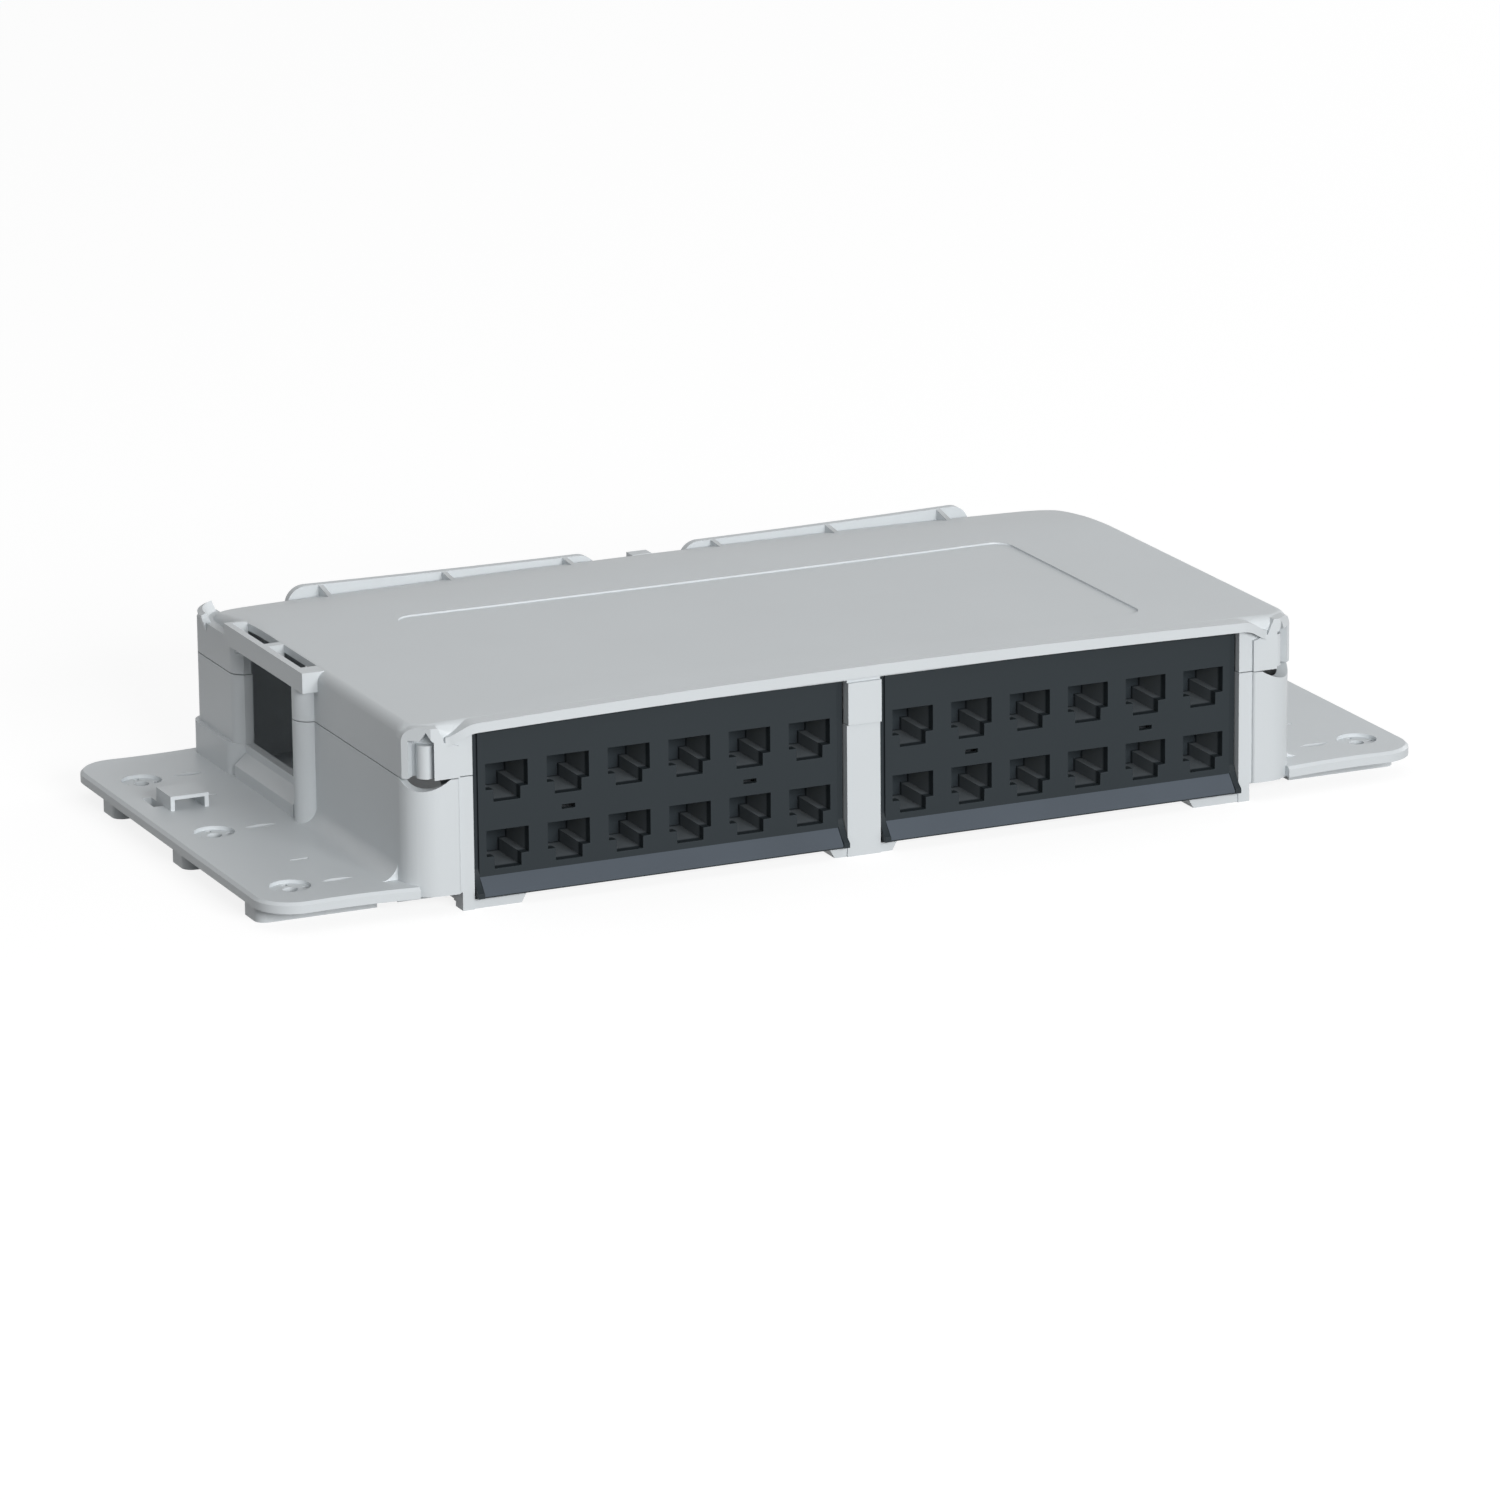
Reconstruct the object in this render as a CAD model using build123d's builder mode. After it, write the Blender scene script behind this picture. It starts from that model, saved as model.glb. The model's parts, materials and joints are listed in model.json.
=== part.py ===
from build123d import *
import os

# Ethernet distribution box with 24 RJ45 outlets, for a floor or ceiling void.
# Millimetres. X to the right, Y from the outlets to the rear, Z up from the feet.

# Overall sizes
flange_span = 341.6
body_width = 262.0
body_depth = 151.0
front_overhang = 5.0
rear_overhang = 2.0
foot_height = 1.8
body_height = 52.8

# Walls and running clearances
wall = 2.5
floor_thickness = 1.8
cover_wall = 2.2
joint_gap = 0.3
seat_gap = 0.2

# Joint between base and cover, corner columns and the waisted plan
joint_height = 36.5
rear_corner_radius = 12.0
front_corner_radius = 9.0
column_width = 14.0
column_proud = 1.0
column_ease = 0.9
strip_proud = 1.5
waist_front = 2.0
waist_rear = 4.0
waist_half_length = 105.0

# Roof of the cover
crown_drop = 1.6
roof_roll_length = 46.0
roof_roll_drop = 4.9
roof_edge_radius = 3.0
lip_height = 2.6
lip_crown = 0.7
lip_droop = 3.6
lip_half_width = 112.5
lip_end = 120.9
panel_recess_drop = 0.5
panel_recess_width = 186.0
panel_recess_length = 87.0
panel_recess_front = 16.0
panel_recess_radius = 5.0

# Outlets and the dark blocks that hold them
port_pitch_x = 17.5
port_pitch_z = 18.3
port_width = 12.0
port_height = 7.1
notch_width = 7.6
notch_height = 3.4
row_one_top = 38.7
column_count = 6
row_count = 2
block_centre = 59.0
block_width = 107.6
block_depth = 15.0
block_face = 2.0
block_wall = 1.4
plate_bottom = 3.2
margin_width = 1.8
margin_set_back = 0.7
pillar_width = 9.8
rib_depth = 16.0
release_width = 3.8
release_height = 1.2
release_columns = (1, 4)

# Socket bodies, wire caps and contact wires
jack_width = 16.2
jack_height = 16.4
jack_depth = 20.0
socket_depth = 14.5
jack_over_port = 2.6
socket_ease = 0.1
cap_depth = 11.0
cap_width = 14.0
cap_height = 13.0
wire_slot_width = 1.1
wire_slot_depth = 2.2
wire_slot_pitch = 2.4
wire_slot_first = 1.0
cable_channel_depth = 3.0
cable_channel_width = 6.0
cap_web = 2.0
contact_pitch = 1.02
contact_size = 0.42
contact_dip = 1.8
contact_start = 3.0
contact_run = 8.0
contact_count = 8

# Sloping shelf at the foot of each block, the cheeks at its ends and the label strip that lies on it
shelf_reach = 3.5
shelf_front = 0.4
shelf_rise = 3.9
cheek_proud = 0.3
cheek_height = 7.3
cheek_nose = 1.4
cheek_hollow = 1.1
cheek_middle = 3.8
strip_thickness = 0.6
strip_gap = 0.1

# Cable entry on the left side
entry_front = 74.0
entry_length = 43.5
entry_reach = 9.0
entry_sill = 17.0
entry_head = 45.6
tie_bar_proud = 4.4
tie_bar_thickness = 2.0
tie_bar_end = 6.0
tie_slot_length = 24.0
tie_slot_width = 4.6
tie_slot_gap = 3.0
entry_column_radius = 4.4
sill_flare = 3.4
sill_drop = 5.5
rear_column_proud = 2.6
rear_column_step = 1.3
rear_column_step_z = 17.2

# Cable entries at the rear, under two hoods
rear_entry_centre = 59.0
rear_entry_width = 84.0
rear_entry_depth = 12.0
rear_entry_sill = 17.0
rear_entry_head = 43.5
hood_length = 92.0
hood_top = 50.4
hood_shoulder = 5.5
gusset_pitch = 36.2
gusset_thickness = 1.4
gusset_reach = 8.6
latch_width = 6.0
latch_top = 49.2
roof_sink = 0.4

# Grip at the rear left corner of the cover
grip_bottom = 40.0
grip_top = 49.4
grip_wall = 1.4
grip_flare = 2.6
grip_root = 3.0
grip_angle = 55

# Chamfered corner posts of the cover and the pry notches under them
post_chamfer = 6.0
post_depth = 5.2
post_top = 50.9
post_shoulder = 4.0
post_step = 4.2
post_slope = 1.8
niche_width = 7.3
niche_depth = 3.4
niche_top = 47.2
niche_rib_radius = 2.5
niche_rib_top = 45.8
pry_notch_depth = 2.8
pry_notch_half = 6.8
niche_shift = 1.2
gable_half = 1.9
gable_shift = 1.6
gable_top = 49.8

# Mounting flanges
flange_top = 8.1
flange_thickness = 3.0
flange_corner_radius = 11.0
flange_hollow = 1.6
flange_margin = 0.5
flange_edge = 0.8
screw_span = 317.0
screw_pitch = 55.5
screw_radius = 2.1
screw_recess_radius = 5.6
screw_recess = 1.0
screw_notch_ring = 4.2
screw_notch = 1.4
slot_offset = 13.3
slot_length = 9.0
slot_width = 2.6
slit_offset = 11.2
slit_pitch = 67.7
slit_length = 5.0
slit_width = 0.9
pad_length = 33.5
pad_width = 12.0
pad_pitch = 53.5
pad_middle_y = -3.0
pad_radius = 3.0
pad_inset = 1.8
root_radius = 5.0
screw_middle_y = -3.5
tie_bridge_x = -156.5
tie_bridge_y = 20.0
tie_bridge_width = 11.0
tie_bridge_length = 11.0
tie_bridge_height = 4.0
tie_bridge_hole_width = 8.6
tie_bridge_hole_height = 3.0
tie_pocket_width = 2.7
tie_pocket_length = 9.0
tie_pocket_shift = 6.0

# Feet under the body
foot_length = 16.0
foot_depth = 10.0
foot_inset = 1.0
outer_foot_x = 108.0
jamb_width = 3.4
jamb_depth = 5.0
toe_top = 2.6
toe_set_back = 0.5
toe_depth = 10.0
outer_toe_length = 15.0
toe_slant = 1.5
pillar_toe_reach = 5.1
corner_floor = 1.8
corner_depth = 9.5
corner_lap = 2.0

# Places that follow from the sizes above
total_depth = front_overhang + body_depth + rear_overhang
front_y = front_overhang - total_depth / 2
rear_y = front_y + body_depth
wall_x = body_width / 2
front_plane = front_y - strip_proud
column_plane = front_plane - column_proud
cover_z = joint_height + joint_gap
floor_z = foot_height + floor_thickness
lip_end_z = body_height - crown_drop * (lip_half_width / wall_x) ** 2
lip_bottom = lip_end_z - lip_height
block_top = lip_bottom - seat_gap
block_outer_x = block_centre + block_width / 2
block_inner_x = block_centre - block_width / 2
entry_y = front_y + entry_front
entry_end_y = entry_y + entry_length
jack_y = front_y + block_face
cap_y = jack_y + jack_depth
floor_edge_y = jack_y + seat_gap
jamb_x = block_outer_x + seat_gap
shelf_y = front_y - shelf_reach
shelf_top = plate_bottom + shelf_front + shelf_rise
diagonal = 0.5**0.5
niche_x = wall_x - post_chamfer / 2 - niche_shift * diagonal
niche_y = column_plane + post_chamfer / 2 - niche_shift * diagonal
sides = (-1, 1)


def body_outline(inset, columns=False):
    """Plan of the box: rear edge hollow in plan, rounded corners, a column at each front corner if asked."""
    x = wall_x - inset
    rear = rear_y - inset
    front = front_plane + inset
    with BuildSketch(mode=Mode.PRIVATE) as outline:
        with BuildLine():
            Line((-x, front), (x, front))
            Line((x, front), (x, rear))
            Line((x, rear), (waist_half_length, rear))
            ThreePointArc((waist_half_length, rear), (0, rear - waist_rear), (-waist_half_length, rear))
            Line((-waist_half_length, rear), (-x, rear))
            Line((-x, rear), (-x, front))
        make_face()
        if columns:
            with GridLocations(body_width - column_width, 0, 2, 1):
                with Locations((0, column_plane + column_width / 2)):
                    Rectangle(column_width, column_width)
        by_x = outline.vertices().group_by(Axis.X)
        fillet([by_x[0].sort_by(Axis.Y)[-1], by_x[-1].sort_by(Axis.Y)[-1]], rear_corner_radius - inset)
        by_x = outline.vertices().group_by(Axis.X)
        fillet([by_x[0].sort_by(Axis.Y)[0], by_x[-1].sort_by(Axis.Y)[0]], front_corner_radius - inset)
        if columns:
            inner = outline.vertices().group_by(Axis.Y)[0].sort_by(lambda v: abs(v.X))[:2]
            fillet(inner, column_ease)
    return outline.sketch


def roof(drop):
    """Everything under the crowned roof, lowered by drop: straight along Y, then rolling down to the rear."""
    top = body_height - drop
    reach = wall_x + 20
    edge_drop = crown_drop * (reach / wall_x) ** 2
    start_y = front_y - 20
    with BuildPart(mode=Mode.PRIVATE) as mass:
        with BuildLine(Plane.YZ) as ridge:
            flat = Line((start_y, top), (rear_y - roof_roll_length, top))
            JernArc(flat @ 1, flat % 1, roof_roll_length**2 / (2 * roof_roll_drop), -14)
        with BuildSketch(Plane(origin=(0, start_y, top), x_dir=(1, 0, 0), z_dir=(0, 1, 0))):
            with BuildLine():
                ThreePointArc((-reach, edge_drop), (0, 0), (reach, edge_drop))
                Line((reach, edge_drop), (reach, top + 20))
                Line((reach, top + 20), (-reach, top + 20))
                Line((-reach, top + 20), (-reach, edge_drop))
            make_face()
        sweep(path=ridge.wires()[0])
    return mass.part


def block(x_ends, y_ends, z_ends, mode=Mode.ADD):
    """Box between three pairs of ends."""
    middle = [(ends[0] + ends[1]) / 2 for ends in (x_ends, y_ends, z_ends)]
    size = [abs(ends[1] - ends[0]) for ends in (x_ends, y_ends, z_ends)]
    with Locations(tuple(middle)):
        Box(*size, mode=mode)


def side_column(z_ends, radius):
    """Half-round column at the front edge of the left cable entry."""
    with Locations((-wall_x, entry_y - entry_column_radius, z_ends[0])):
        Cylinder(radius, z_ends[1] - z_ends[0], align=(Align.CENTER, Align.CENTER, Align.MIN))


def rear_column(proud):
    """Plan of the rounded column that closes the rear left corner behind the cable entry."""
    with BuildSketch(mode=Mode.PRIVATE) as outline:
        with Locations((-wall_x - proud, entry_end_y)):
            Rectangle(2 * proud + wall, rear_y - entry_end_y, align=(Align.MIN, Align.MIN))
        outer = outline.vertices().group_by(Axis.X)[0].sort_by(Axis.Y)
        fillet(outer[0], proud + wall - 1)
        fillet(outline.vertices().group_by(Axis.X)[0].sort_by(Axis.Y)[-1], rear_corner_radius / 2)
    return outline.sketch


def flange_outline(side):
    """Plan of one mounting flange: front and rear edges a little hollow, outer corners rounded."""
    inner = side * (wall_x - wall)
    outer = side * flange_span / 2
    middle = (inner + outer) / 2
    low = column_plane + flange_margin
    high = rear_y + flange_margin
    with BuildSketch(mode=Mode.PRIVATE) as outline:
        with BuildLine():
            ThreePointArc((inner, low), (middle, low + flange_hollow), (outer, low))
            Line((outer, low), (outer, high))
            ThreePointArc((outer, high), (middle, high - flange_hollow), (inner, high))
            Line((inner, high), (inner, low))
        make_face()
        fillet(outline.vertices().sort_by(lambda v: side * v.X)[-2:], flange_corner_radius)
    return outline.sketch


def corner_plane(side, height):
    """Plane on the chamfer of one front corner: its X runs level along the chamfer, its Y up, its Z outwards."""
    return Plane(origin=(side * niche_x, niche_y, height), x_dir=(1, side, 0), z_dir=(side, -1, 0))


def port_spots(side):
    """Middle and top edge of each outlet of one block, row by row from the top left."""
    for row in range(row_count):
        for column in range(column_count):
            x = side * block_centre + (column - (column_count - 1) / 2) * port_pitch_x
            yield x, row_one_top - row * port_pitch_z


def port_outline(x, top, ease):
    """T-shaped opening of an outlet: the plug's width above, the latch's notch below."""
    with BuildSketch(mode=Mode.PRIVATE) as outline:
        with Locations((x, top + ease)):
            Rectangle(port_width + 2 * ease, port_height + 2 * ease, align=(Align.CENTER, Align.MAX))
        with Locations((x, top - port_height)):
            Rectangle(notch_width + 2 * ease, notch_height + ease, align=(Align.CENTER, Align.MAX))
    return outline.sketch


# Base housing: floor, low walls, pillar, mounting flanges and feet, moulded in one
rib_rear = front_plane + rib_depth
low_z = flange_top - flange_thickness
half_pillar = pillar_width / 2
with BuildPart() as base:
    with BuildSketch(Plane.XY.offset(foot_height)):
        add(body_outline(0, columns=True))
    extrude(amount=joint_height - foot_height)
    side_column((low_z, joint_height), entry_column_radius)
    with BuildSketch(Plane.XY.offset(low_z)):
        add(rear_column(rear_column_proud))
    extrude(amount=joint_height - low_z)
    with BuildSketch(Plane.XY.offset(low_z)):
        add(rear_column(rear_column_proud + rear_column_step))
    extrude(amount=rear_column_step_z - low_z)
    for side in sides:
        with BuildSketch(Plane.XY.offset(low_z)):
            add(flange_outline(side))
        extrude(amount=flange_thickness)
    rims = base.edges().filter_by_position(Axis.Z, flange_top - 0.01, flange_top + 0.01)
    rims = [e for e in rims if abs(e.center().X) > wall_x + 2 * sill_flare]
    chamfer(rims, flange_edge)
    with BuildSketch(Plane.XY.offset(floor_z)):
        add(body_outline(wall))
    extrude(amount=joint_height, mode=Mode.SUBTRACT)

    # Corner columns end level with the underside of the flanges, with the floor inside them raised to suit
    for side in sides:
        corner_y = front_plane + corner_depth
        pocket_x = (side * (jamb_x + wall), side * (wall_x - wall))
        pocket_y = (front_plane + wall, corner_y + corner_lap)
        block(pocket_x, pocket_y, (floor_z, low_z + corner_floor))
        column_x = (side * (jamb_x + jamb_width), side * (wall_x + 1))
        block(column_x, (column_plane - 1, corner_y), (foot_height - 1, low_z), Mode.SUBTRACT)

    # Two wide windows for the outlet blocks, open through the edge of the floor, and a rib at each end
    for side in sides:
        window = (side * half_pillar, side * jamb_x)
        block(window, (column_plane - 1, floor_edge_y), (foot_height - 1, joint_height), Mode.SUBTRACT)
        block((side * jamb_x, side * (jamb_x + wall)), (front_plane, rib_rear), (floor_z, joint_height))

    # Pillar and end jambs stand on the ground, with slanted toes that reach under the blocks
    block((-half_pillar, half_pillar), (front_plane, rib_rear), (0, joint_height))
    toe_y = front_plane + toe_set_back
    toe_reach = half_pillar + pillar_toe_reach
    toe_foot = toe_reach - toe_slant
    toes = [[(-toe_reach, toe_top), (toe_reach, toe_top), (toe_foot, 0), (-toe_foot, 0)]]
    for side in sides:
        jamb = (side * jamb_x, side * (jamb_x + jamb_width))
        block(jamb, (front_plane, front_plane + jamb_depth), (0, floor_z))
        tip = jamb_x - outer_toe_length
        heel = side * (jamb_x + jamb_width / 2)
        toes.append([(side * tip, toe_top), (heel, toe_top), (heel, 0), (side * (tip + toe_slant), 0)])
    for toe in toes:
        with BuildSketch(Plane.XZ.offset(-toe_y)):
            with BuildLine():
                Polyline(*toe, close=True)
            make_face()
        extrude(amount=-toe_depth)

    # Concave root between the side walls and the flanges
    root_ends = (entry_y - entry_column_radius, rear_y - rear_corner_radius)
    for side, root_end in zip(sides, root_ends):
        root_y = front_plane + front_corner_radius
        with BuildSketch(Plane.XZ.offset(-root_y)):
            with BuildLine():
                high = (side * wall_x, flange_top + root_radius)
                out = (side * (wall_x + root_radius), flange_top)
                hollow = root_radius * (1 - diagonal)
                ThreePointArc(high, (side * (wall_x + hollow), flange_top + hollow), out)
                sunk = side * (wall_x - wall / 2)
                Polyline(out, (out[0], low_z + 1), (sunk, low_z + 1), (sunk, high[1]), high)
            make_face()
        extrude(amount=root_y - root_end)

    # Left cable entry: window over a sill that flares outwards
    entry_ends = (entry_y, entry_end_y)
    block((-wall_x - entry_reach, -wall_x + wall), entry_ends, (entry_sill, joint_height), Mode.SUBTRACT)
    with BuildSketch(Plane.XZ.offset(-entry_y)):
        with BuildLine():
            Polyline(
                (-wall_x + wall, low_z),
                (-wall_x + wall, entry_sill),
                (-wall_x - sill_flare, entry_sill - sill_drop),
                (-wall_x - sill_flare, low_z),
                close=True,
            )
        make_face()
    extrude(amount=-entry_length)

    # Rear cable entries
    for side in sides:
        ends = [side * (rear_entry_centre + half * rear_entry_width / 2) for half in sides]
        block(ends, (rear_y - rear_entry_depth, rear_y + 1), (rear_entry_sill, joint_height), Mode.SUBTRACT)

    # Crescent pry notches in the top edge of the front corners
    notch_radius = (pry_notch_half**2 + pry_notch_depth**2) / (2 * pry_notch_depth)
    for side in sides:
        with Locations(corner_plane(side, joint_height - pry_notch_depth + notch_radius).location):
            Cylinder(notch_radius, 4 * post_depth, mode=Mode.SUBTRACT)

    # Foot pads across under the flanges
    for side in sides:
        with BuildSketch():
            with Locations((side * (flange_span / 2 - pad_inset - pad_length / 2), pad_middle_y)):
                with GridLocations(0, pad_pitch, 1, 3):
                    Rectangle(pad_length, pad_width)
            fillet(vertices().group_by(Axis.X)[0 if side < 0 else -1], pad_radius)
        extrude(amount=low_z)

    # Recessed screw places with four small notches round each, lens-shaped slots and narrow slits
    for side in sides:
        screw_x = side * screw_span / 2
        slot_x = screw_x - side * slot_offset
        for place in (-1, 0, 1):
            screw_y = screw_middle_y + place * screw_pitch
            with Locations((screw_x, screw_y, flange_top)):
                CounterBoreHole(screw_radius, screw_recess_radius, screw_recess)
                with PolarLocations(screw_notch_ring, 4):
                    Box(screw_notch, screw_notch, 4 * flange_top, mode=Mode.SUBTRACT)
            with BuildSketch():
                with BuildLine():
                    ends = [(slot_x + half * slot_length / 2, screw_y) for half in sides]
                    ThreePointArc(ends[0], (slot_x, screw_y + slot_width / 2), ends[1])
                    ThreePointArc(ends[1], (slot_x, screw_y - slot_width / 2), ends[0])
                make_face()
            extrude(amount=flange_top, mode=Mode.SUBTRACT)
        with Locations((screw_x - side * slit_offset, screw_middle_y, flange_top)):
            with GridLocations(0, slit_pitch, 1, 2):
                Box(slit_length, slit_width, 3 * flange_thickness, mode=Mode.SUBTRACT)

    # Bridge for a cable tie on the left flange
    bridge_x = (tie_bridge_x - tie_bridge_width / 2, tie_bridge_x + tie_bridge_width / 2)
    bridge_y = (tie_bridge_y, tie_bridge_y + tie_bridge_length)
    block(bridge_x, bridge_y, (low_z, flange_top + tie_bridge_height))
    hole_x = (tie_bridge_x - tie_bridge_hole_width / 2, tie_bridge_x + tie_bridge_hole_width / 2)
    hole_z = (flange_top, flange_top + tie_bridge_hole_height)
    block(hole_x, (bridge_y[0] - 1, bridge_y[1] + 1), hole_z, Mode.SUBTRACT)
    tie_pocket_y = tie_bridge_y + tie_pocket_shift
    tie_pocket = (bridge_x[0] - tie_pocket_width, bridge_x[0])
    block(tie_pocket, (tie_pocket_y, tie_pocket_y + tie_pocket_length), (low_z - 1, flange_top + 1), Mode.SUBTRACT)

    # Feet under the rear of the body
    foot_y = rear_y - waist_rear - foot_inset - foot_depth / 2
    with Locations((0, foot_y, 0)):
        with GridLocations(outer_foot_x, 0, 3, 1):
            Box(foot_length, foot_depth, foot_height, align=(Align.CENTER, Align.CENTER, Align.MIN))
base.part.label = "base_housing"
os.makedirs("parts", exist_ok=True)
export_step(base.part, "parts/base_housing.step")


def roof_height(x, y):
    """Height of the crowned roof above a point in plan."""
    roll = max(0.0, y - (rear_y - roof_roll_length))
    return body_height - crown_drop * (x / wall_x) ** 2 - roof_roll_drop * (roll / roof_roll_length) ** 2


def rear_edge(x):
    """Y of the rear edge of the box, hollow in plan between the outer ends of the hoods."""
    return rear_y - waist_rear * max(0.0, 1 - (x / waist_half_length) ** 2)


# Crowned tools for the cover: outer skin, inner skin and the shallow panel on top
roof_outer = roof(0)
roof_inner = roof(cover_wall)
with BuildPart() as cavity:
    with BuildSketch(Plane.XY.offset(cover_z - 1)):
        add(body_outline(cover_wall))
    extrude(amount=body_height)
    add(roof_inner, mode=Mode.INTERSECT)
with BuildPart() as panel:
    with BuildSketch(Plane.XY.offset(joint_height)):
        with BuildLine():
            half = panel_recess_width / 2
            low = front_y + panel_recess_front
            high = low + panel_recess_length
            Line((-half, low), (half, low))
            Line((half, low), (half, high))
            ThreePointArc((half, high), (0, high - waist_rear), (-half, high))
            Line((-half, high), (-half, low))
        make_face()
        fillet(vertices(), panel_recess_radius)
    extrude(amount=body_height)
    add(roof(panel_recess_drop), mode=Mode.SUBTRACT)

# Front lip: its front edge hollow in plan, both ends drooping into the corner posts
with BuildPart() as lip:
    droop_x = lip_end
    with BuildSketch(Plane.XY.offset(joint_height)):
        with BuildLine():
            edge_y = front_y - front_overhang
            back_y = front_plane + cover_wall
            ThreePointArc((-lip_half_width, edge_y), (0, edge_y + waist_front), (lip_half_width, edge_y))
            Spline((lip_half_width, edge_y), (droop_x, column_plane), tangents=((1, 0.1), (1, 0.5)))
            Line((droop_x, column_plane), (droop_x, back_y))
            Line((droop_x, back_y), (-droop_x, back_y))
            Line((-droop_x, back_y), (-droop_x, column_plane))
            Spline((-droop_x, column_plane), (-lip_half_width, edge_y), tangents=((1, -0.5), (1, -0.1)))
        make_face()
    extrude(amount=body_height)
    with BuildSketch(Plane.XZ.offset(-back_y - 1)):
        with BuildLine():
            low = lip_bottom - lip_droop
            ThreePointArc((-lip_half_width, lip_bottom), (0, lip_bottom + lip_crown), (lip_half_width, lip_bottom))
            Spline((lip_half_width, lip_bottom), (droop_x, low), tangents=((1, -0.05), (1, -0.3)))
            Line((droop_x, low), (droop_x, low + lip_height))
            Spline((droop_x, low + lip_height), (lip_half_width, lip_end_z), tangents=((-1, 0.3), (-1, 0.05)))
            ThreePointArc((lip_half_width, lip_end_z), (0, body_height), (-lip_half_width, lip_end_z))
            Spline((-lip_half_width, lip_end_z), (-droop_x, low + lip_height), tangents=((-1, -0.05), (-1, -0.3)))
            Line((-droop_x, low + lip_height), (-droop_x, low))
            Spline((-droop_x, low), (-lip_half_width, lip_bottom), tangents=((1, 0.3), (1, 0.05)))
        make_face()
    extrude(amount=20, mode=Mode.INTERSECT)

# Rear hoods in plan between two arcs, in rear view two arches with rounded shoulders
with BuildPart() as hoods:
    with BuildSketch(Plane.XY.offset(rear_entry_head)):
        with BuildLine():
            x = waist_half_length
            inner_arc = [(-x, rear_y - 0.3), (0, rear_y - 0.3 - waist_rear), (x, rear_y - 0.3)]
            outer_arc = [(px, py + rear_overhang + 0.3) for px, py in inner_arc]
            ThreePointArc(*inner_arc)
            Line(inner_arc[-1], outer_arc[-1])
            ThreePointArc(*outer_arc)
            Line(outer_arc[0], inner_arc[0])
        make_face()
    extrude(amount=body_height)
    with BuildSketch(Plane.XZ.offset(-rear_y - rear_overhang - 1)):
        with Locations(*[(side * rear_entry_centre, rear_entry_head - 1) for side in sides]):
            Rectangle(hood_length, hood_top - rear_entry_head + 1, align=(Align.CENTER, Align.MIN))
        fillet(vertices().group_by(Axis.Y)[-1], hood_shoulder)
    extrude(amount=20, mode=Mode.INTERSECT)

def corner_post(side):
    """Solid corner of the cover: chamfered in plan, a rounded shoulder outside, a slope down to the lip."""
    inner = wall_x - column_width
    low = lip_bottom - lip_droop
    with BuildPart(mode=Mode.PRIVATE) as post:
        with BuildSketch(Plane.XZ.offset(-column_plane)):
            with BuildLine():
                shoulder = wall_x - post_shoulder
                turn = post_shoulder * diagonal
                Polyline(
                    (side * wall_x, post_top - post_shoulder),
                    (side * wall_x, cover_z),
                    (side * inner, cover_z),
                    (side * inner, low),
                    (side * (inner + post_step), low + lip_height / 2),
                    (side * (inner + post_step + post_slope), post_top),
                    (side * shoulder, post_top),
                )
                middle = (side * (shoulder + turn), post_top - post_shoulder + turn)
                ThreePointArc((side * shoulder, post_top), middle, (side * wall_x, post_top - post_shoulder))
            make_face()
        extrude(amount=-2 * post_chamfer)
        chamfer_y = column_plane + post_chamfer
        wall_y = front_plane + cover_wall
        across = wall_x - chamfer_y - post_depth / diagonal
        with BuildSketch(Plane.XY.offset(cover_z)):
            with BuildLine():
                Polyline(
                    (side * wall_x, wall_x - cover_wall - across),
                    (side * wall_x, chamfer_y),
                    (side * (wall_x - post_chamfer), column_plane),
                    (side * inner, column_plane),
                    (side * inner, wall_y),
                    (side * (across + wall_y), wall_y),
                    (side * (wall_x - cover_wall), wall_x - cover_wall - across),
                    close=True,
                )
            make_face()
        extrude(amount=body_height, mode=Mode.INTERSECT)
    return post.part


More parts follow.
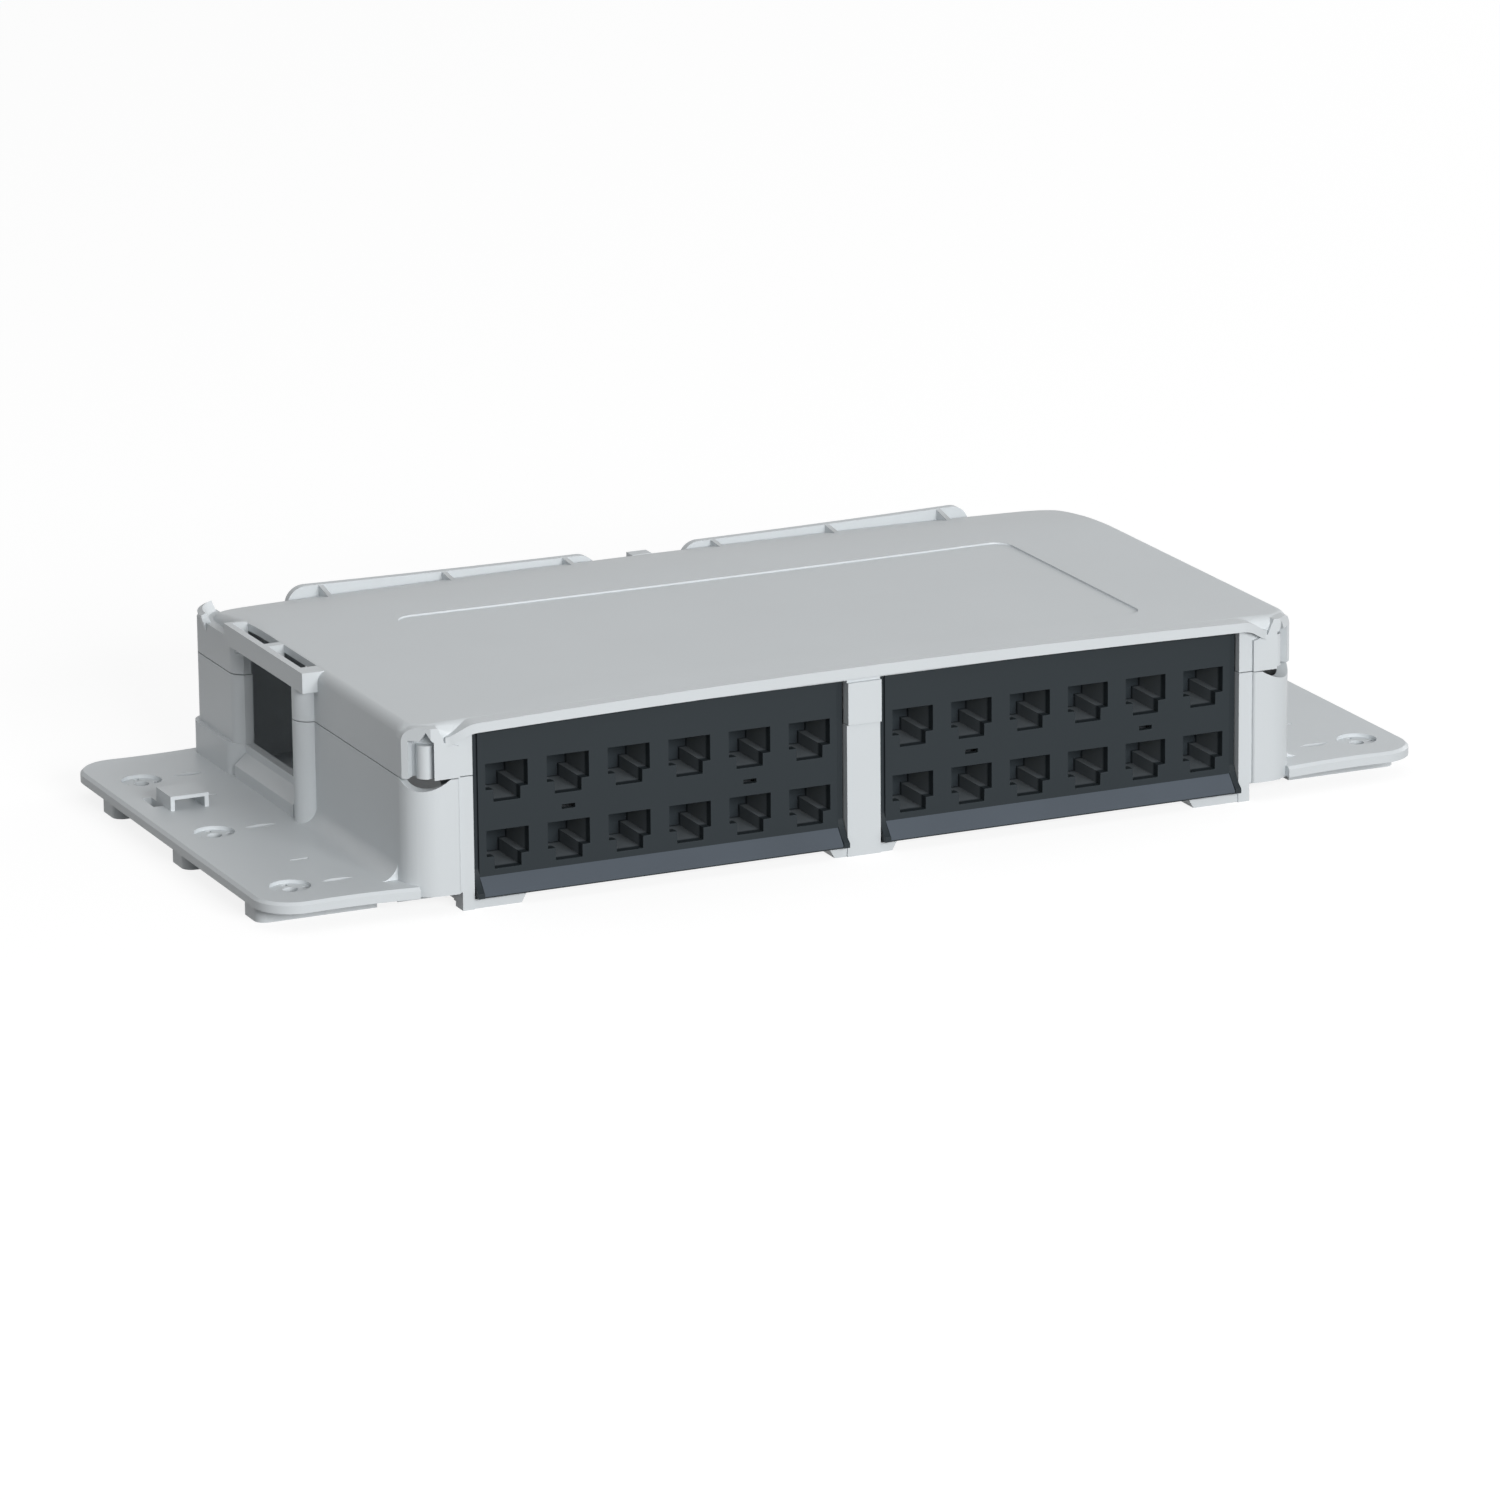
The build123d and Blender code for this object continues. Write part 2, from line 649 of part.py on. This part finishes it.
# Cover: crowned shell with a front lip, corner posts, tie bar and rear hoods, moulded in one
with BuildPart() as cover:
    with BuildSketch(Plane.XY.offset(cover_z)):
        add(body_outline(0))
    extrude(amount=body_height)
    add(roof_outer, mode=Mode.INTERSECT)
    skin = cover.faces().filter_by(lambda f: f.center().Z > lip_bottom - lip_height)
    rim = [e for e in cover.edges() if len([f for f in skin if e in f.edges()]) == 1]
    fillet(rim, roof_edge_radius)
    add(lip.part)

    # Bump-out over the left cable entry and the columns beside it
    bar = (-wall_x - tie_bar_proud, -wall_x + tie_bar_thickness)
    bar_ends = (entry_y - 2 * entry_column_radius - tie_bar_end / 2, entry_end_y + tie_bar_end / 2)
    block(bar, bar_ends, (entry_head, roof_height(wall_x, 0)))
    side_column((cover_z, entry_head + 1), entry_column_radius)
    with BuildSketch(Plane.XY.offset(cover_z)):
        add(rear_column(rear_column_proud))
    extrude(amount=entry_head + 1 - cover_z)
    add(cavity.part, mode=Mode.SUBTRACT)
    for side in sides:
        add(corner_post(side))

    # Windows for the outlet blocks, pillar cover between them
    for side in sides:
        window = (side * half_pillar, side * (block_outer_x + seat_gap))
        window_depth = (column_plane - 1, front_plane + cover_wall + 1)
        block(window, window_depth, (cover_z - 1, lip_bottom), Mode.SUBTRACT)
    pillar_depth = (column_plane, front_plane + cover_wall)
    block((-half_pillar, half_pillar), pillar_depth, (cover_z, body_height - 2 * cover_wall))

    # Left cable entry with two tie slots above it
    block((-wall_x - entry_reach, -wall_x + cover_wall + 0.5), entry_ends, (cover_z - 1, entry_head), Mode.SUBTRACT)
    slot_outer = -wall_x - tie_bar_proud + tie_bar_thickness
    slot_x = (slot_outer, slot_outer + tie_slot_width)
    for first in (bar_ends[0] + tie_bar_end, bar_ends[0] + tie_bar_end + tie_slot_length + tie_slot_gap):
        block(slot_x, (first, first + tie_slot_length), (entry_head - 3, body_height), Mode.SUBTRACT)

    # Shallow panel on top
    add(panel.part, mode=Mode.SUBTRACT)

    # Niche with a half-round rib in each corner post, under a small gable
    for side in sides:
        face = corner_plane(side, cover_z)
        with BuildSketch(face.offset(-niche_depth)):
            with BuildLine():
                foot = -side * gable_shift
                up = niche_top - cover_z
                Polyline(
                    (-niche_width / 2, -1),
                    (niche_width / 2, -1),
                    (niche_width / 2, up),
                    (foot + gable_half, up),
                    (foot, gable_top - cover_z),
                    (foot - gable_half, up),
                    (-niche_width / 2, up),
                    close=True,
                )
            make_face()
        extrude(amount=2 * niche_depth, mode=Mode.SUBTRACT)
        rib_place = face.offset(-niche_depth).origin
        with Locations(rib_place):
            Cylinder(niche_rib_radius, niche_rib_top - cover_z, align=(Align.CENTER, Align.CENTER, Align.MIN))

    # Rear hoods: upright walls with rounded shoulders over the rear cable entries, stayed by gussets
    add(hoods.part)
    for side in sides:
        for place in (-1, 0, 1):
            x = side * (rear_entry_centre + place * gusset_pitch)
            back = rear_edge(x) + 0.3
            front = rear_edge(x) - gusset_reach
            with BuildSketch(Plane.YZ.offset(x - gusset_thickness / 2)):
                with BuildLine():
                    under = roof_height(x, front) - roof_sink
                    Polyline((back, hood_top), (front, under), (back, under - roof_edge_radius), close=True)
                make_face()
            extrude(amount=gusset_thickness)
    for side in sides:
        ends = [side * (rear_entry_centre + half * rear_entry_width / 2) for half in sides]
        block(ends, (rear_y - rear_entry_depth, rear_y + rear_overhang + 1), (cover_z - 1, rear_entry_head), Mode.SUBTRACT)

    # Latch at the middle of the rear edge
    latch_y = (rear_edge(0) - cover_wall, rear_edge(0) + rear_overhang)
    block((-latch_width / 2, latch_width / 2), latch_y, (rear_entry_head, latch_top))

    # Flared grip round the rear left corner
    corner = (-wall_x + rear_corner_radius, rear_y - rear_corner_radius, 0)
    with BuildSketch(Plane(origin=corner, x_dir=(-1, 0, 0), z_dir=(0, 1, 0))):
        with BuildLine():
            Polyline(
                (rear_corner_radius - 1, grip_bottom),
                (rear_corner_radius + grip_wall, grip_bottom),
                (rear_corner_radius + grip_flare + grip_wall, grip_top - grip_wall / 2),
                (rear_corner_radius + grip_flare, grip_top),
                (rear_corner_radius - 1, grip_bottom + grip_root),
                close=True,
            )
        make_face()
    revolve(axis=Axis(corner, (0, 0, -1)), revolution_arc=grip_angle)
cover.part.label = "top_cover"
export_step(cover.part, "parts/top_cover.step")


def outlet_block(side):
    """Dark block of twelve outlets: a face plate, its foot drawn out into a shelf, and a rim behind it."""
    ends = (side * block_inner_x, side * block_outer_x)
    back_y = front_y + block_face
    low_x = min(ends)
    with BuildPart() as housing:
        block(ends, (front_y, back_y), (plate_bottom, block_top))
        block(ends, (front_y, front_y + block_depth), (floor_z, block_top))

        # Margins set back at both ends, each running forwards at its foot into a hollow cheek
        for margin_x in (low_x, low_x + block_width - margin_width):
            margin = (margin_x, margin_x + margin_width)
            margin_y = front_y + margin_set_back
            block(margin, (front_y - 1, margin_y), (plate_bottom - 1, block_top + 1), Mode.SUBTRACT)
            with BuildSketch(Plane.YZ.offset(margin_x)):
                with BuildLine():
                    nose_y = shelf_y - cheek_proud
                    nose = (nose_y, plate_bottom + cheek_nose)
                    brow = (margin_y, plate_bottom + cheek_height)
                    ThreePointArc(brow, (front_y - cheek_hollow, plate_bottom + cheek_middle), nose)
                    Polyline(nose, (nose_y, plate_bottom), (back_y, plate_bottom), (back_y, brow[1]), brow)
                make_face()
            extrude(amount=margin_width)
        with BuildSketch(Plane.YZ.offset(low_x + margin_width)):
            with BuildLine():
                shelf_edge = plate_bottom + shelf_front
                Polyline(
                    (back_y, plate_bottom),
                    (shelf_y, plate_bottom),
                    (shelf_y, shelf_edge),
                    (front_y, shelf_top),
                    (back_y, shelf_top),
                    close=True,
                )
            make_face()
        extrude(amount=block_width - 2 * margin_width)
        hollow_x = (ends[0] + side * block_wall, ends[1] - side * block_wall)
        hollow_z = (floor_z + block_wall, block_top - block_wall)
        block(hollow_x, (front_y + block_face, front_y + block_depth + 1), hollow_z, Mode.SUBTRACT)
        with BuildSketch(Plane.XZ.offset(-front_y + 1)):
            for x, top in port_spots(side):
                add(port_outline(x, top, 0))
            for column in release_columns:
                x = side * block_centre + (column - (column_count - 1) / 2) * port_pitch_x
                with Locations((x, row_one_top - (port_height + notch_height + port_pitch_z) / 2)):
                    Rectangle(release_width, release_height)
        extrude(amount=-block_face - 2, mode=Mode.SUBTRACT)
    return housing.part


def write(part, name):
    """Label a finished piece and write its file."""
    part.label = name
    export_step(part, f"parts/{name}.step")


# Socket body with a T-shaped socket, blind at the rear; its opening's middle is at X 0 and its top edge at Z 0
jack_low = jack_over_port - jack_height
jack_middle = jack_over_port - jack_height / 2
with BuildPart() as socket_body:
    block((-jack_width / 2, jack_width / 2), (jack_y, cap_y), (jack_low, jack_over_port))
    with BuildSketch(Plane.XZ.offset(-jack_y)):
        add(port_outline(0, 0, socket_ease))
    extrude(amount=-socket_depth, mode=Mode.SUBTRACT)

# Cap that presses the eight wires into the socket: four slots each side, a channel for the cable
cap_ends = (jack_middle - cap_height / 2, jack_middle + cap_height / 2)
with BuildPart() as wire_cap:
    block((-cap_width / 2, cap_width / 2), (cap_y, cap_y + cap_depth), cap_ends)
    channel_x = (-cable_channel_width / 2, cable_channel_width / 2)
    channel_z = (cap_ends[1] - cable_channel_depth, cap_ends[1] + 1)
    block(channel_x, (cap_y + cap_web, cap_y + cap_depth + 1), channel_z, Mode.SUBTRACT)
    for side in sides:
        slot_x = (side * (cap_width / 2 - wire_slot_depth), side * (cap_width / 2 + 1))
        for slot in range(contact_count // 2):
            slot_y = cap_y + wire_slot_first + slot * wire_slot_pitch
            slot_z = (jack_middle, cap_ends[1] + 1)
            block(slot_x, (slot_y, slot_y + wire_slot_width), slot_z, Mode.SUBTRACT)

# One sprung contact wire, held in the roof of the socket and dipping towards the rear
contact_y = jack_y + contact_start
with BuildPart() as contact_wire:
    with BuildSketch(Plane.YZ.offset(-contact_size / 2)):
        with BuildLine():
            Polyline(
                (contact_y, socket_ease),
                (contact_y + contact_size, socket_ease),
                (contact_y + contact_run, socket_ease - contact_dip + contact_size),
                (contact_y + contact_run, socket_ease - contact_dip),
                close=True,
            )
        make_face()
    extrude(amount=contact_size)

# Label strip: a thin plate that lies on the slope of the shelf, between the cheeks
strip_x = block_width / 2 - margin_width - strip_gap
with BuildPart() as label_strip:
    with BuildSketch(Plane.YZ.offset(-strip_x)):
        with BuildLine():
            shelf_edge = plate_bottom + shelf_front
            Polyline(
                (front_y, shelf_top),
                (front_y, shelf_top + strip_thickness),
                (shelf_y, shelf_edge + strip_thickness),
                (shelf_y, shelf_edge),
                close=True,
            )
        make_face()
    extrude(amount=2 * strip_x)

for side, side_name in zip(sides, ("left", "right")):
    spots = list(port_spots(side))
    write(outlet_block(side), f"port_block_{side_name}")
    with BuildPart() as strip:
        with Locations((side * block_centre, 0, 0)):
            add(label_strip.part)
    write(strip.part, f"label_strip_{side_name}")
    with BuildPart() as contacts:
        for x, top in spots:
            with Locations((x, 0, top)):
                with GridLocations(contact_pitch, 1, contact_count, 1):
                    add(contact_wire.part)
    write(contacts.part, f"contacts_{side_name}")
    for number, (x, top) in enumerate(spots, start=1):
        with BuildPart() as jack:
            with Locations((x, 0, top)):
                add(socket_body.part)
        write(jack.part, f"jack_{side_name}_{number:02d}")
        with BuildPart() as cap:
            with Locations((x, 0, top)):
                add(wire_cap.part)
        write(cap.part, f"wire_cap_{side_name}_{number:02d}")
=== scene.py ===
import json
import math

import bmesh
import bpy
from mathutils import Matrix, Vector

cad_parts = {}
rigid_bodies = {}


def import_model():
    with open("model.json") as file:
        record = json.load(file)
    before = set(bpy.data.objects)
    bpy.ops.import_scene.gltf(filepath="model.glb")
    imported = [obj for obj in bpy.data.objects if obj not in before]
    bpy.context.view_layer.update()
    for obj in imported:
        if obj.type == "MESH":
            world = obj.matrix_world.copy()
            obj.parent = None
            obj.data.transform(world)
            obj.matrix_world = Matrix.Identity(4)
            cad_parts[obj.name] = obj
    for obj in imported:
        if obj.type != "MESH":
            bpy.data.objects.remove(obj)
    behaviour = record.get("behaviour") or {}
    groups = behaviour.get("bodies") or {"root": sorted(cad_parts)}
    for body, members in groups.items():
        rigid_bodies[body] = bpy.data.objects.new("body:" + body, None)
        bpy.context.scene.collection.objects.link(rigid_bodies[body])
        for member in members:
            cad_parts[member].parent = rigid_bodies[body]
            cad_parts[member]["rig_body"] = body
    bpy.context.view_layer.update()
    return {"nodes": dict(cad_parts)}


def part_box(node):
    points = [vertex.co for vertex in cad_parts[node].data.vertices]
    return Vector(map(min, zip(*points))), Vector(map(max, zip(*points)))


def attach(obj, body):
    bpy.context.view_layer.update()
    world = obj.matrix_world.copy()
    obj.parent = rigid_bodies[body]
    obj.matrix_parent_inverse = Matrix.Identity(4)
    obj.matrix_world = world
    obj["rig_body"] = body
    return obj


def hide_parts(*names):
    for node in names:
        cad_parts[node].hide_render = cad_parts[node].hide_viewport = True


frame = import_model()

# Camera: a long lens, left of the box and a little above it, held with a slight roll.
# The lens and the film's width are in millimetres, and all else is in metres.
camera_place = Vector((-0.9082, -2.0101, 0.6391))
camera_target = Vector((0.0008, 0.0, 0.0098))
camera_lens = 199.7
camera_film = 36.0
camera_near = 0.05
camera_far = 60.0
camera_roll = math.radians(-0.56)

bpy.context.scene.view_settings.view_transform = "Standard"
camera = bpy.data.objects.new("camera", bpy.data.cameras.new("camera"))
bpy.context.scene.collection.objects.link(camera)
camera.data.lens = camera_lens
camera.data.sensor_width = camera_film
camera.data.clip_start = camera_near
camera.data.clip_end = camera_far
turn = (camera_target - camera_place).to_track_quat("-Z", "Y").to_matrix().to_4x4()
camera.matrix_world = Matrix.Translation(camera_place) @ turn @ Matrix.Rotation(camera_roll, 4, "Z")
bpy.context.scene.camera = camera


# Studio: a floor that shows white and keeps a faint shadow, an even pale sky, and two soft lamps.
# The key stands in front, well down, and lights the outlets, and a weak one stands at the right.
floor_size = 12.0
floor_seen = (0.25, 0.25, 0.25)
floor_dim = (0.16, 0.16, 0.16)
floor_glow = 0.84
floor_roughness = 0.9
sky_at_horizon = 0.35
sky_overhead = 0.43
sky_seen = 1.0
white = (1.0, 1.0, 1.0)
lamp_aim = (0.0, 0.0, 0.02)
lamps = (
    ("key_lamp", (0.02, -1.95, 0.62), (1.0, 0.5), 34.0),
    ("side_lamp", (2.0, 0.6, 0.7), (1.0, 0.5), 8.0),
)

# A Mix node has a pair of sockets for each kind of value, so they are found by number.
level_low, level_high, level_out = 2, 3, 0
colour_low, colour_high, colour_out = 6, 7, 2


def soft_lamp(name, place, target, size, power):
    """A rectangular lamp that faces the target."""
    lamp = bpy.data.lights.new(name, "AREA")
    lamp.shape = "RECTANGLE"
    lamp.size, lamp.size_y = size
    lamp.energy = power
    holder = bpy.data.objects.new(name, lamp)
    bpy.context.scene.collection.objects.link(holder)
    aim = Vector(target) - Vector(place)
    holder.matrix_world = Matrix.Translation(place) @ aim.to_track_quat("-Z", "Y").to_matrix().to_4x4()


def new_material(name):
    """An empty node material with its output and a Principled shader."""
    material = bpy.data.materials.new(name)
    material.use_nodes = True
    tree = material.node_tree
    tree.nodes.clear()
    out = tree.nodes.new("ShaderNodeOutputMaterial")
    shader = tree.nodes.new("ShaderNodeBsdfPrincipled")
    tree.links.new(shader.outputs["BSDF"], out.inputs["Surface"])
    return material, tree, shader, out


def seen_rays(tree):
    """1 for what the camera sees, straight, through glass or in a reflection, and 0 for other light."""
    rays = tree.nodes.new("ShaderNodeLightPath")
    socket = rays.outputs["Is Camera Ray"]
    for name in ("Is Glossy Ray", "Is Transmission Ray"):
        either = tree.nodes.new("ShaderNodeMath")
        either.operation = "MAXIMUM"
        tree.links.new(socket, either.inputs[0])
        tree.links.new(rays.outputs[name], either.inputs[1])
        socket = either.outputs[0]
    return socket


def stage_material():
    """Matt floor: white to the camera where no shadow falls, and dim in the light it throws back."""
    material, tree, shader, out = new_material("studio_white")
    shader.inputs["Roughness"].default_value = floor_roughness
    shader.inputs["Specular IOR Level"].default_value = 0.0
    glow = tree.nodes.new("ShaderNodeEmission")
    glow.inputs["Color"].default_value = white + (1.0,)
    seen = seen_rays(tree)
    tone = tree.nodes.new("ShaderNodeMix")
    tone.data_type = "RGBA"
    tone.inputs[colour_low].default_value = floor_dim + (1.0,)
    tone.inputs[colour_high].default_value = floor_seen + (1.0,)
    tree.links.new(seen, tone.inputs["Factor"])
    tree.links.new(tone.outputs[colour_out], shader.inputs["Base Color"])
    level = tree.nodes.new("ShaderNodeMath")
    level.operation = "MULTIPLY"
    level.inputs[1].default_value = floor_glow
    tree.links.new(seen, level.inputs[0])
    tree.links.new(level.outputs[0], glow.inputs["Strength"])
    both = tree.nodes.new("ShaderNodeAddShader")
    tree.links.new(shader.outputs["BSDF"], both.inputs[0])
    tree.links.new(glow.outputs["Emission"], both.inputs[1])
    tree.links.new(both.outputs["Shader"], out.inputs["Surface"])
    return material


floor_mesh = bpy.data.meshes.new("floor")
reach = floor_size / 2
corners = [(-reach, -reach, 0), (reach, -reach, 0), (reach, reach, 0), (-reach, reach, 0)]
floor_mesh.from_pydata(corners, [], [(0, 1, 2, 3)])
floor = bpy.data.objects.new("floor", floor_mesh)
bpy.context.scene.collection.objects.link(floor)
floor.data.materials.append(stage_material())

world = bpy.data.worlds.new("studio")
bpy.context.scene.world = world
world.use_nodes = True
sky_tree = world.node_tree
sky = sky_tree.nodes["Background"]
sky.inputs["Color"].default_value = white + (1.0,)
sky_place = sky_tree.nodes.new("ShaderNodeTexCoord")
sky_height = sky_tree.nodes.new("ShaderNodeSeparateXYZ")
sky_light = sky_tree.nodes.new("ShaderNodeMapRange")
sky_light.inputs["To Min"].default_value = sky_at_horizon
sky_light.inputs["To Max"].default_value = sky_overhead
sky_level = sky_tree.nodes.new("ShaderNodeMix")
sky_level.inputs[level_high].default_value = sky_seen
sky_tree.links.new(sky_place.outputs["Generated"], sky_height.inputs["Vector"])
sky_tree.links.new(sky_height.outputs["Z"], sky_light.inputs["Value"])
sky_tree.links.new(seen_rays(sky_tree), sky_level.inputs["Factor"])
sky_tree.links.new(sky_light.outputs["Result"], sky_level.inputs[level_low])
sky_tree.links.new(sky_level.outputs[level_out], sky.inputs["Strength"])

for name, place, size, power in lamps:
    soft_lamp(name, place, lamp_aim, size, power)


# Base housing: the floor, walls, columns and screw flanges, injection moulded in one light grey plastic.
# Its skin is finely spark-textured, and every edge that the mould closes on is a little round.
# It is screwed down through its flanges and carries everything else.
MM = 0.001
grey_colour = (0.597, 0.631, 0.651)
edge_radius = 0.35 * MM
edge_angle = 28.0
edge_segments = 2
weld_distance = 0.002 * MM
flat_angle = 0.2
flat_face_weight = 100
plastic_ior = 1.48
grain_detail = 3.0
grain_roughness = 0.6
cloud_scale = 28.0
cloud_detail = 3.0
gloss_spread = 0.05


def grained_finish(name, colour, roughness, grain_size, grain_height, mottle=0.03, sheen=0.5):
    """A moulded or plated skin: a fine grain as bump, and a faint uneven tone and gloss."""
    material, tree, shader, out = new_material(name)
    shader.inputs["IOR"].default_value = plastic_ior
    shader.inputs["Specular IOR Level"].default_value = sheen
    place = tree.nodes.new("ShaderNodeTexCoord")
    grain = tree.nodes.new("ShaderNodeTexNoise")
    grain.inputs["Scale"].default_value = 1.0 / grain_size
    grain.inputs["Detail"].default_value = grain_detail
    grain.inputs["Roughness"].default_value = grain_roughness
    cloud = tree.nodes.new("ShaderNodeTexNoise")
    cloud.inputs["Scale"].default_value = cloud_scale
    cloud.inputs["Detail"].default_value = cloud_detail
    tree.links.new(place.outputs["Object"], grain.inputs["Vector"])
    tree.links.new(place.outputs["Object"], cloud.inputs["Vector"])
    tone = tree.nodes.new("ShaderNodeMix")
    tone.data_type = "RGBA"
    tone.inputs[colour_low].default_value = tuple(c * (1 - mottle) for c in colour) + (1.0,)
    tone.inputs[colour_high].default_value = tuple(min(1.0, c * (1 + mottle)) for c in colour) + (1.0,)
    tree.links.new(cloud.outputs["Fac"], tone.inputs["Factor"])
    tree.links.new(tone.outputs[colour_out], shader.inputs["Base Color"])
    gloss = tree.nodes.new("ShaderNodeMapRange")
    gloss.inputs["To Min"].default_value = roughness - gloss_spread
    gloss.inputs["To Max"].default_value = roughness + gloss_spread
    tree.links.new(grain.outputs["Fac"], gloss.inputs["Value"])
    tree.links.new(gloss.outputs["Result"], shader.inputs["Roughness"])
    bump = tree.nodes.new("ShaderNodeBump")
    bump.inputs["Strength"].default_value = 1.0
    bump.inputs["Distance"].default_value = grain_height
    tree.links.new(grain.outputs["Fac"], bump.inputs["Height"])
    tree.links.new(bump.outputs["Normal"], shader.inputs["Normal"])
    return material


def eased_moulding(node, radius, material):
    """A copy of the node's form with its facets joined into whole faces and its sharp edges rounded.

    The round edges bend the shading, and the flat faces beside them keep theirs.
    """
    source = frame["nodes"][node]
    mesh = source.data.copy()
    shape = bmesh.new()
    shape.from_mesh(mesh)
    bmesh.ops.remove_doubles(shape, verts=shape.verts, dist=weld_distance)
    flat = math.radians(flat_angle)
    bmesh.ops.dissolve_limit(shape, angle_limit=flat, verts=shape.verts, edges=shape.edges)
    for face in shape.faces:
        face.smooth = True
    shape.to_mesh(mesh)
    shape.free()
    mesh.materials.clear()
    mesh.materials.append(material)
    piece = bpy.data.objects.new(node + "_eased", mesh)
    bpy.context.scene.collection.objects.link(piece)
    bevel = piece.modifiers.new("edges", "BEVEL")
    bevel.width = radius
    bevel.segments = edge_segments
    bevel.limit_method = "ANGLE"
    bevel.angle_limit = math.radians(edge_angle)
    bevel.use_clamp_overlap = True
    bevel.face_strength_mode = "FSTR_AFFECTED"
    shading = piece.modifiers.new("shading", "WEIGHTED_NORMAL")
    shading.weight = flat_face_weight
    shading.use_face_influence = True
    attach(piece, source["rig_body"])
    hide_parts(node)


grey_plastic = grained_finish("grey_plastic", grey_colour, roughness=0.46, grain_size=0.55 * MM,
                              grain_height=0.012 * MM)
eased_moulding("base_housing", edge_radius, grey_plastic)


# Cover: the crowned lid with its front lip, corner posts and rear hoods.
# It is one moulding in the same grey plastic, snaps onto the base housing and lifts straight off it.
eased_moulding("top_cover", edge_radius, grey_plastic)


# Outlet blocks: two dark grey mouldings, each a face plate with twelve T-shaped openings.
# They sit between the pillar and the ends of the box, and hold the sockets.
block_colour = (0.021, 0.0275, 0.032)
block_edge_radius = 0.2 * MM
dark_plastic = grained_finish("dark_plastic", block_colour, roughness=0.5, grain_size=0.45 * MM,
                              grain_height=0.01 * MM, mottle=0.06, sheen=0.2)
for word in ("left", "right"):
    eased_moulding(f"port_block_{word}", block_edge_radius, dark_plastic)


# Sockets: a moulded body behind each opening, dark at its front, with a blind T-shaped hollow.
# The hollow is painted paler up to its dark end, which is painted light that lifts its shade, and the
# body is held in its outlet block.
socket_colour = (0.024, 0.032, 0.038)
# Painted light: this paler colour is painted into the sockets' shaded hollows in place of the light that
# would fill them.
painted_fill_colour = (0.145, 0.165, 0.18)
painted_fill_start = 0.4 * MM
painted_fill_end = 14.2 * MM
painted_fill_blend = 1.2 * MM


def paint_hollow_fill(material, front, colour):
    """Blends the material into a paler painted fill behind the front, painted light that lifts the
    hollow's shade, and back again at the blind end.
    """
    tree = material.node_tree
    base = tree.nodes["Principled BSDF"].inputs["Base Color"]
    place = tree.nodes.new("ShaderNodeTexCoord")
    split = tree.nodes.new("ShaderNodeSeparateXYZ")
    tree.links.new(place.outputs["Object"], split.inputs["Vector"])
    depth = tree.nodes.new("ShaderNodeMapRange")
    depth.inputs["From Min"].default_value = front + painted_fill_start
    depth.inputs["From Max"].default_value = front + painted_fill_start + painted_fill_blend
    tree.links.new(split.outputs["Y"], depth.inputs["Value"])
    rest = tree.nodes.new("ShaderNodeMapRange")
    rest.inputs["From Min"].default_value = front + painted_fill_end
    rest.inputs["From Max"].default_value = front + painted_fill_end - painted_fill_blend
    tree.links.new(split.outputs["Y"], rest.inputs["Value"])
    share = tree.nodes.new("ShaderNodeMath")
    share.operation = "MINIMUM"
    tree.links.new(depth.outputs["Result"], share.inputs[0])
    tree.links.new(rest.outputs["Result"], share.inputs[1])
    tone = tree.nodes.new("ShaderNodeMix")
    tone.data_type = "RGBA"
    tone.inputs[colour_high].default_value = colour + (1.0,)
    tree.links.new(share.outputs[0], tone.inputs["Factor"])
    tree.links.new(base.links[0].from_socket, tone.inputs[colour_low])
    tree.links.new(tone.outputs[colour_out], base)


def finish_nodes(start, material):
    """Gives the material and the slot to every node whose name has this start."""
    for name, obj in frame["nodes"].items():
        if name.startswith(start):
            obj.data.materials.clear()
            obj.data.materials.append(material)


black_plastic_painted_fill = grained_finish("black_plastic_painted_fill", socket_colour, roughness=0.6, grain_size=0.4 * MM,
                               grain_height=0.008 * MM, mottle=0.08, sheen=0.2)
socket_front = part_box("jack_left_01")[0][1]
# Paints the paler fill into the socket hollows: painted light on their shade.
paint_hollow_fill(black_plastic_painted_fill, socket_front, painted_fill_colour)
finish_nodes("jack_", black_plastic_painted_fill)


# Wire caps: a pale plastic cap at the rear of each socket, moulded with wire slots and a cable channel.
# It is pushed on by hand and presses the cable's eight wires into the contacts.
cap_colour = (0.52, 0.53, 0.52)
cap_plastic = grained_finish("cap_plastic", cap_colour, roughness=0.45, grain_size=0.5 * MM,
                             grain_height=0.008 * MM)
finish_nodes("wire_cap_", cap_plastic)


# Label strips: a thin plate of glossy smoke-blue plastic with an uneven tone.
# Each lies on the sloping shelf at the foot of its outlet block, between the block's cheeks.
strip_colour = (0.052, 0.068, 0.088)
strip_coat = 0.25
strip_coat_roughness = 0.15
strip_plastic = grained_finish("strip_plastic", strip_colour, roughness=0.3, grain_size=0.6 * MM,
                               grain_height=0.003 * MM, mottle=0.22, sheen=0.45)
strip_shader = strip_plastic.node_tree.nodes["Principled BSDF"]
strip_shader.inputs["Coat Weight"].default_value = strip_coat
strip_shader.inputs["Coat Roughness"].default_value = strip_coat_roughness
finish_nodes("label_strip_", strip_plastic)


# Contacts: eight spring wires in the roof of each socket, bent from thin wire and gold-plated.
# They are held in the socket's body, and an inserted plug presses them upwards.
gold_colour = (0.83, 0.62, 0.28)
gold_plate = grained_finish("gold_plate", gold_colour, roughness=0.25, grain_size=0.15 * MM,
                            grain_height=0.001 * MM, mottle=0.08)
gold_plate.node_tree.nodes["Principled BSDF"].inputs["Metallic"].default_value = 1.0
finish_nodes("contacts_", gold_plate)
